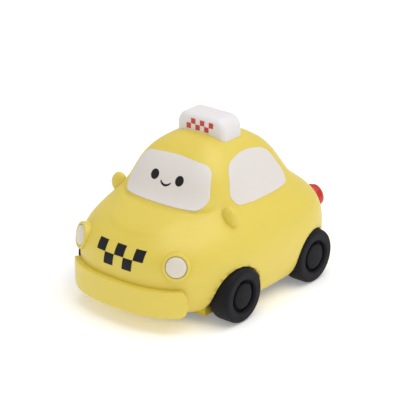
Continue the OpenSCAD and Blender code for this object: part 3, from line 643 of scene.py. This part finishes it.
bumper_bm = bmesh.new()
bmesh.ops.create_grid(bumper_bm, x_segments=72, y_segments=18, size=1)
corner = 4 * MM
half_arc = 37.0 * MM
half_rise = (bumper_high.z - bumper_low.z) / 2
frame_corners = [(s * (half_arc - corner), t * (half_rise - corner), corner) for s in (-1, 1) for t in (-1, 1)]
flat = fill_outline(coordinates(bumper_bm)[:, :2], hull_of_circles(frame_corners))
azimuth = flat[:, 0] / half_arc * bumper_end
height = (bumper_high.z + bumper_low.z) / 2 + flat[:, 1]
outer = round_points(azimuth, np.full_like(azimuth, bumper_high.z), bumper_t)
facing_out = level_normals(outer)
outer[:, 2] = height
move_to(bumper_bm, outer)
back = skin_hit(outer - facing_out * 25 * MM, facing_out, -0.6 * MM, reach=0.04)
copied = bmesh.ops.extrude_face_region(bumper_bm, geom=bumper_bm.faces[:], use_keep_orig=True)["geom"]
layer = [g for g in copied if isinstance(g, bmesh.types.BMVert)]
for vertex in layer:
    nearest = int(np.argmin(np.sum((outer - np.array(vertex.co[:])) ** 2, axis=1)))
    vertex.co = back[nearest]
bumper = make_piece("front_bumper_vinyl", bumper_bm, vinyl_yellow, "car", ["front_bumper"])
soften(bumper, 1.2, segments=5, angle=40)

# %% [markdown]
# ## Lamps
# Round things are turned: half of the outline is spun about an axis. The headlamp is a cup with a
# rolled edge and a domed white lens, and the tail lamp is a red dome with a small step at its foot.
# One helper spins a profile and one puts it on the body, looking the way the real lamp looks.

# %% Turned shapes
def rounded(points, rounding, steps=6):
    """A polyline (radius, height) with its inner corners rounded."""
    pts = [np.array(p, float) for p in points]
    out = [pts[0]]
    for i in range(1, len(pts) - 1):
        r = rounding[i] if isinstance(rounding, (list, tuple)) else rounding
        a, b = pts[i - 1] - pts[i], pts[i + 1] - pts[i]
        la, lb = np.linalg.norm(a), np.linalg.norm(b)
        if r <= 0:
            out.append(pts[i])
            continue
        half = math.acos(np.clip(np.dot(a, b) / la / lb, -1, 1)) / 2
        cut = min(r / math.tan(half), la * 0.48, lb * 0.48)
        p0, p1 = pts[i] + a / la * cut, pts[i] + b / lb * cut
        for t in np.linspace(0, 1, steps + 1):
            out.append((1 - t) ** 2 * p0 + 2 * t * (1 - t) * pts[i] + t * t * p1)
    out.append(pts[-1])
    return out


def spun(profile, steps=72):
    """A bmesh turned about +Z from a profile in millimetres, closed at the axis."""
    bm = bmesh.new()
    verts = [bm.verts.new((r * MM, 0, h * MM)) for r, h in profile]
    edges = [bm.edges.new(pair) for pair in zip(verts, verts[1:])]
    bmesh.ops.spin(bm, geom=verts + edges, axis=(0, 0, 1), cent=(0, 0, 0), angle=2 * math.pi,
        steps=steps, use_merge=True)
    bmesh.ops.remove_doubles(bm, verts=bm.verts[:], dist=1e-7)
    return bm


def place_along(bm, place, axis):
    """Turns +Z to an axis and moves the shape to a place."""
    turn = Vector(axis).to_track_quat("Z", "X").to_matrix().to_4x4()
    bmesh.ops.transform(bm, matrix=Matrix.Translation(Vector(place)) @ turn, verts=bm.verts[:])


def dome(radius, foot, top, steps=10):
    """Half of a dome's outline, from its rim to the axis."""
    turn = np.linspace(0, math.pi / 2, steps + 1)
    return [(radius * math.cos(t), foot + (top - foot) * math.sin(t)) for t in turn]


print("turned shapes ready")

# %% Headlamps and tail lamps
lamp_z = 32.4 * MM
headlamp_place = round_points(np.radians([25.3]), np.array([lamp_z]), 0.0)[0]
headlamp_axis = np.array([
    math.sin(math.radians(31)) * math.cos(math.radians(14)),
    -math.cos(math.radians(31)) * math.cos(math.radians(14)),
    math.sin(math.radians(14)),
])
tail_place = round_points(np.radians([149.5]), np.array([lamp_z]), 0.0)[0]
tail_axis = skin_normal(np.array([tail_place]))[0]
bezel_profile = rounded(
    [(0, -3.4), (6.3, -3.4), (6.5, -0.6), (6.35, 1.58), (5.05, 1.55), (4.95, 0.4), (4.95, -2.0), (0, -2.0)],
    [0, 0.3, 0.8, 0.7, 0.4, 0.2, 0.2, 0])
lens_profile = rounded(
    [(0, -1.8), (4.82, -1.8), (4.82, 1.35), (3.6, 2.1), (1.8, 2.4), (0, 2.46)], [0, 0.2, 0.6, 1.5, 1.5, 0])
tail_profile = rounded([(0, -3.0), (5.75, -3.0), (5.75, 0.5), (5.3, 0.9)], [0, 0.3, 0.4, 0]) + dome(5.3, 0.9, 4.05, 14)
for side, word in ((1, "left"), (-1, "right")):
    flip = np.array([side, 1, 1])
    ring = spun(bezel_profile)
    place_along(ring, headlamp_place * flip, headlamp_axis * flip)
    make_piece(word + "_headlamp_ring", ring, vinyl_yellow, "car", [word + "_headlamp_bezel"])
    glass = spun(lens_profile)
    place_along(glass, headlamp_place * flip, headlamp_axis * flip)
    make_piece(word + "_headlamp_white", glass, lens_white, "car", [word + "_headlamp_lens"])
    red = spun(tail_profile)
    place_along(red, tail_place * flip, tail_axis * flip)
    make_piece(word + "_tail_lamp_red", red, lamp_red, "car", [word + "_tail_lamp"])

# %% [markdown]
# ## Mirrors
# The mirrors are two soft ears that lie along the slope of the cabin and stand out from it, drawn
# to a blunt tip at the bottom. Each starts as a sphere and is pulled into shape by a formula, which
# is what a sculptor's grab brush would do, only repeatable and the same on both sides.

# %% Mirrors
mirror_place = round_points(np.radians([49.5]), np.array([47.2 * MM]), 0.0)[0]
mirror_lean = math.radians(20)
for side, word in ((1, "left"), (-1, "right")):
    ear = bmesh.new()
    bmesh.ops.create_uvsphere(ear, u_segments=48, v_segments=28, radius=1)
    ball = coordinates(ear)
    foot = np.clip(-ball[:, 2], 0, 1)
    out = ball[:, 0] * 4.25 * (1 - 0.12 * foot ** 2)
    thick = ball[:, 1] * 2.62 * (1 - 0.15 * foot)
    long = ball[:, 2] * 5.2
    shape = np.stack([
        1.45 + out * math.cos(mirror_lean) - long * math.sin(mirror_lean),
        thick,
        out * math.sin(mirror_lean) + long * math.cos(mirror_lean),
    ], axis=1)
    flip = np.array([side, 1, 1])
    move_to(ear, (mirror_place + shape * MM) * flip)
    make_piece(word + "_mirror_ear", ear, vinyl_yellow, "car", [word + "_mirror"])

# %% [markdown]
# ## Roof sign
# The sign is a small block of white vinyl with softly rounded edges, rounder at its two upper
# corners, that sits on the roof. A cube is tapered, its upper corners are bevelled widely and then
# all its edges once more. The sign carries a plain red chequer band in place of any word.

# %% Roof sign
sign_low, sign_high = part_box("roof_sign")
sign_mid = (sign_low + sign_high) / 2
sign_foot = shell_high.z - 5 * MM
sign_bm = bmesh.new()
bmesh.ops.create_cube(sign_bm, size=2)
half = (sign_high - sign_low) / 2
for vertex in sign_bm.verts:
    narrow = 0.7 * MM if vertex.co.z > 0 else 0.0
    vertex.co = Vector((
        sign_mid.x + vertex.co.x * (half.x - narrow),
        sign_mid.y + vertex.co.y * (half.y - narrow * 0.6),
        sign_high.z if vertex.co.z > 0 else sign_foot,
    ))
upper_corners = [e for e in sign_bm.edges
    if all(v.co.z > sign_high.z - MM for v in e.verts) and abs(e.verts[0].co.y - e.verts[1].co.y) > MM]
bmesh.ops.bevel(sign_bm, geom=upper_corners, offset=5.2 * MM, segments=10, profile=0.5, affect="EDGES")
outline_edges = [e for e in sign_bm.edges if len(e.link_faces) == 2 and e.calc_face_angle(0) > math.radians(40)]
bmesh.ops.bevel(sign_bm, geom=outline_edges, offset=2.6 * MM, segments=7, profile=0.5, affect="EDGES",
    clamp_overlap=True)
make_piece("roof_sign_vinyl", sign_bm, sign_white, "car", ["roof_sign"])

# %% Chequer band on the sign
band_bm = bmesh.new()
band_square = 2.6 * MM
sign_front = sign_low.y - 0.02 * MM
for row in range(2):
    for column in range(row, 6, 2):
        made = bmesh.ops.create_grid(band_bm, x_segments=2, y_segments=2, size=band_square / 2)["verts"]
        for vertex in made:
            u = vertex.co.x + (column - 2.5) * band_square
            v = vertex.co.y + (row - 0.5) * band_square + 77.6 * MM
            lean = 0.42 * MM * (v - sign_foot) / (sign_high.z - sign_foot)
            vertex.co = Vector((u, sign_front + lean, v))
for face in band_bm.faces:
    face.normal_update()
    if face.normal.y > 0:
        face.normal_flip()
make_piece("sign_chequer_band", band_bm, print_red, "car", outwards=False)

# %% [markdown]
# ## Wheels
# Each wheel is a thick soft tyre on a plain hub. The tyre's outline has big round shoulders and a
# shallow ring around the hub, and the hub's disc is slightly domed and set off by a narrow groove.
# Both are turned shapes, so one profile serves all four wheels.

# %% Tyres and hubs
inner_x = tyre_low.x / MM
outer_x = tyre_high.x / MM
tyre_w = outer_x - inner_x
tyre_r = wheel_r / MM
groove_floor = tyre_w - 2.35
tyre_profile = rounded(
    [(7.05, 0.02), (tyre_r, 0.02), (tyre_r, tyre_w), (8.5, tyre_w), (7.8, tyre_w - 0.9), (7.75, groove_floor),
     (7.05, groove_floor), (7.05, 0.02)],
    [0, 5.0, 3.4, 0.9, 0.5, 0.2, 0.1, 0], steps=12)
hub_profile = rounded(
    [(0, 0.3), (6.9, 0.3), (6.95, groove_floor - 0.1), (6.35, groove_floor), (6.3, tyre_w - 1.05),
     (5.8, tyre_w - 0.55), (4.5, tyre_w - 0.38), (2.2, tyre_w - 0.22), (0, tyre_w - 0.2)],
    [0, 0.3, 0.2, 0.1, 0.35, 0.5, 1.0, 1.0, 0], steps=6)
for end, axle, body_name in (("front", front_axle, "front_wheels"), ("rear", rear_axle, "rear_wheels")):
    for side, word in ((1, "left"), (-1, "right")):
        spot = (side * inner_x * MM, axle.y, axle.z)
        name = end + "_" + word
        rubber = spun(tyre_profile, 96)
        place_along(rubber, spot, (side, 0, 0))
        make_piece(name + "_tyre_soft", rubber, tyre_black, body_name, [name + "_tyre"])
        centre = spun(hub_profile, 96)
        place_along(centre, spot, (side, 0, 0))
        make_piece(name + "_hub_disc", centre, hub_black, body_name, [name + "_hub"])

# %% [markdown]
# ## Metal finishes
# Steel axles and screws, the brass pinion and the zinc flywheel keep their exact mechanical shape
# and only get a finish. Drawn steel has fine lines along its length, turned brass and cast zinc have
# a cloudy, slightly rough skin. Stretched noise makes the lines, plain noise the clouds.

# %% Metal materials
def bare_metal(name, colour, deep, rough, line_mm, stretch, relief_mm):
    """Bare metal with a fine directional grain and cloudy wear."""
    material, tree, shader, place = new_material(name)
    lengthen = add_node(tree, "ShaderNodeMapping", None, {"Vector": place, "Scale": stretch})
    lines = add_node(tree, "ShaderNodeTexNoise", None,
        {"Vector": lengthen.outputs["Vector"], "Scale": 1 / (line_mm * MM), "Detail": 3.0, "Roughness": 0.6})
    cloud = add_node(tree, "ShaderNodeTexNoise", None,
        {"Vector": place, "Scale": 1 / (4 * MM), "Detail": 4.0, "Roughness": 0.6})
    mix = add_node(tree, "ShaderNodeMix", {"data_type": "RGBA"},
        {"Factor": cloud.outputs["Fac"], "A": (*srgb(colour), 1), "B": (*srgb(deep), 1)})
    tree.links.new(mix.outputs["Result"], shader.inputs["Base Color"])
    gloss = add_node(tree, "ShaderNodeMapRange", None,
        {"Value": lines.outputs["Fac"], "From Min": 0.3, "From Max": 0.7,
         "To Min": rough - 0.06, "To Max": rough + 0.08})
    tree.links.new(gloss.outputs["Result"], shader.inputs["Roughness"])
    bump = add_node(tree, "ShaderNodeBump", None,
        {"Height": lines.outputs["Fac"], "Distance": relief_mm * MM, "Strength": 0.6})
    tree.links.new(bump.outputs["Normal"], shader.inputs["Normal"])
    shader.inputs["Metallic"].default_value = 1.0
    print("material:", name)
    return material


# The eye sees bright silvery wire, warm yellow brass and dull grey casting.
steel_bright = bare_metal("bright_drawn_steel", "#C9CACC", "#B6B8BC", 0.28, 0.15, (0.05, 1, 1), 0.003)
brass_turned = bare_metal("turned_brass", "#D9B870", "#C9A558", 0.30, 0.12, (1, 1, 1), 0.003)
zinc_cast = bare_metal("die_cast_zinc", "#A3A4A8", "#8E9094", 0.46, 0.40, (1, 1, 1), 0.010)

# %% Finishes of the mechanical parts
finishes = {
    "chassis_plate": chassis_black,
    "chassis_screws": steel_bright,
    "cover_screws": steel_bright,
    "motor_screws": steel_bright,
    "motor_case": nylon_natural,
    "motor_cover": nylon_natural,
    "idler_shaft": steel_bright,
    "flywheel_shaft": steel_bright,
    "rear_axle": steel_bright,
    "front_axle": steel_bright,
    "idler_gear": acetal_white,
    "axle_gear": acetal_white,
    "flywheel_pinion": brass_turned,
    "flywheel": zinc_cast,
}
for node_name, finish in finishes.items():
    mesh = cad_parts[node_name].data
    mesh.materials.clear()
    mesh.materials.append(finish)
print("finished nodes:", len(finishes))
